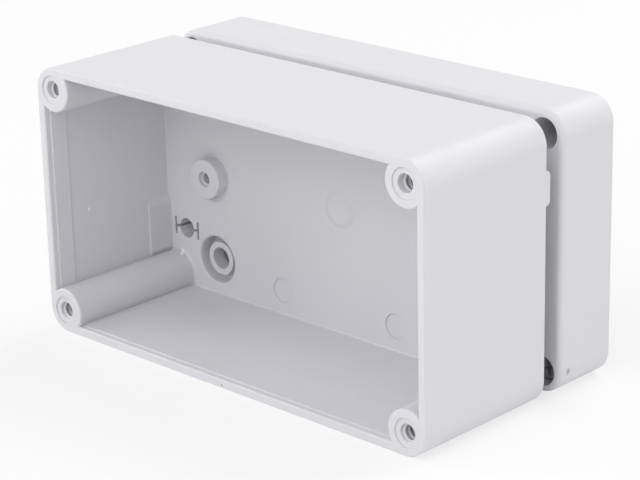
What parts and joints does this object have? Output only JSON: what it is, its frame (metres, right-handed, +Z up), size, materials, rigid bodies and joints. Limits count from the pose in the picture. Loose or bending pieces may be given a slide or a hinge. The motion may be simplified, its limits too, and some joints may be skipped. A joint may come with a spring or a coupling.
{
  "type": "plastic project box",
  "caption": "Light grey plastic instrument box shown open: a deep base with screw posts and wall-screw wells, and a shallower lid with captive plastic screws.",
  "frame": {"origin": "middle of the footprint of base and lid together, on the surface that both stand on", "axes": "+X along the length to the right, +Y from the open front of the base to the lid behind it, +Z up"},
  "size_m": [0.1466, 0.0818, 0.08],
  "materials": {
    "shell_plastic": "light grey moulded plastic, fine satin",
    "screw_plastic": "dark grey moulded plastic",
    "gasket_rubber": "soft black seal"
  },
  "bodies": {
    "base": {"base_shell": "shell_plastic"},
    "lid": {"lid_shell": "shell_plastic", "lid_gasket": "gasket_rubber"},
    "screw_lower_left": {"lid_screw_lower_left": "screw_plastic"},
    "screw_lower_right": {"lid_screw_lower_right": "screw_plastic"},
    "screw_upper_left": {"lid_screw_upper_left": "screw_plastic"},
    "screw_upper_right": {"lid_screw_upper_right": "screw_plastic"}
  },
  "joints": [
    {"name": "lid_pull_off", "type": "slide", "parent": "base", "child": "lid", "axis": [0, 1, 0], "range_m": [0, 0.04]},
    {"name": "screw_lower_left_turn", "type": "hinge", "parent": "lid", "child": "screw_lower_left", "pos_m": [-0.06675, 0.0271, 0.0065], "axis": [0, 1, 0], "continuous": true},
    {"name": "screw_lower_right_turn", "type": "hinge", "parent": "lid", "child": "screw_lower_right", "pos_m": [0.06675, 0.02045, 0.0065], "axis": [0, 1, 0], "continuous": true},
    {"name": "screw_upper_left_turn", "type": "hinge", "parent": "lid", "child": "screw_upper_left", "pos_m": [-0.06675, 0.0271, 0.0735], "axis": [0, 1, 0], "continuous": true},
    {"name": "screw_upper_right_turn", "type": "hinge", "parent": "lid", "child": "screw_upper_right", "pos_m": [0.06675, 0.0271, 0.0735], "axis": [0, 1, 0], "continuous": true}
  ]
}
